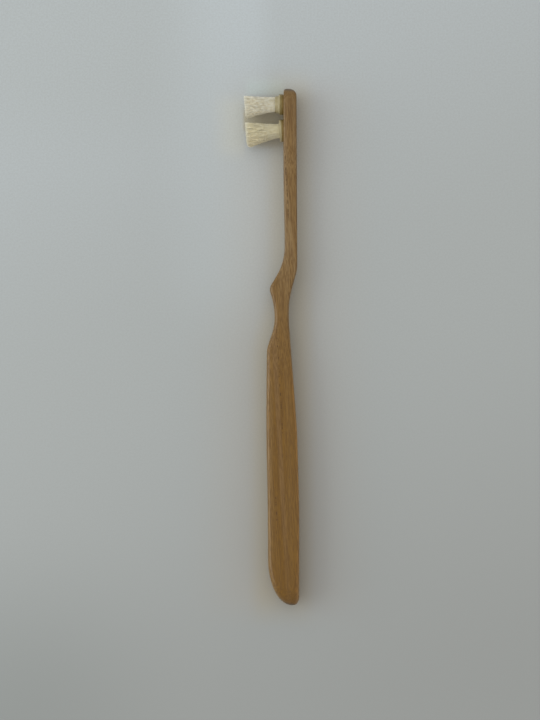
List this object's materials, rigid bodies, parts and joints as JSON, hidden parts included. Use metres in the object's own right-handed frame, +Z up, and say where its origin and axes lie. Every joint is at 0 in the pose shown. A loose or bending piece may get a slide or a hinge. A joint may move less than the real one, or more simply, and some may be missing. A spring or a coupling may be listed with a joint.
{
  "type": "manual toothbrush",
  "caption": "Wooden manual toothbrush with a contoured handle, a thumb rest and round, fanned bristle bundles set in flanged collars.",
  "frame": {"origin": "on the surface that the brush lies on, under the middle of its bounding box", "axes": "+Y along the handle towards the head, -X the way the bristles point, +Z up from the grip's lower flat side to its upper one"},
  "size_m": [0.02, 0.186, 0.0124],
  "materials": {
    "wood": "sanded and oiled",
    "washer": "dull, slightly translucent",
    "collar": "satin",
    "resin": "set resin",
    "bristle": "natural bristle"
  },
  "bodies": {
    "root": {"handle": "wood", "tip_washer": "washer", "tip_collar": "collar", "tip_plug": "resin", "tip_tuft": "bristle", "heel_washer": "washer", "heel_collar": "collar", "heel_plug": "resin", "heel_tuft": "bristle"}
  },
  "joints": []
}
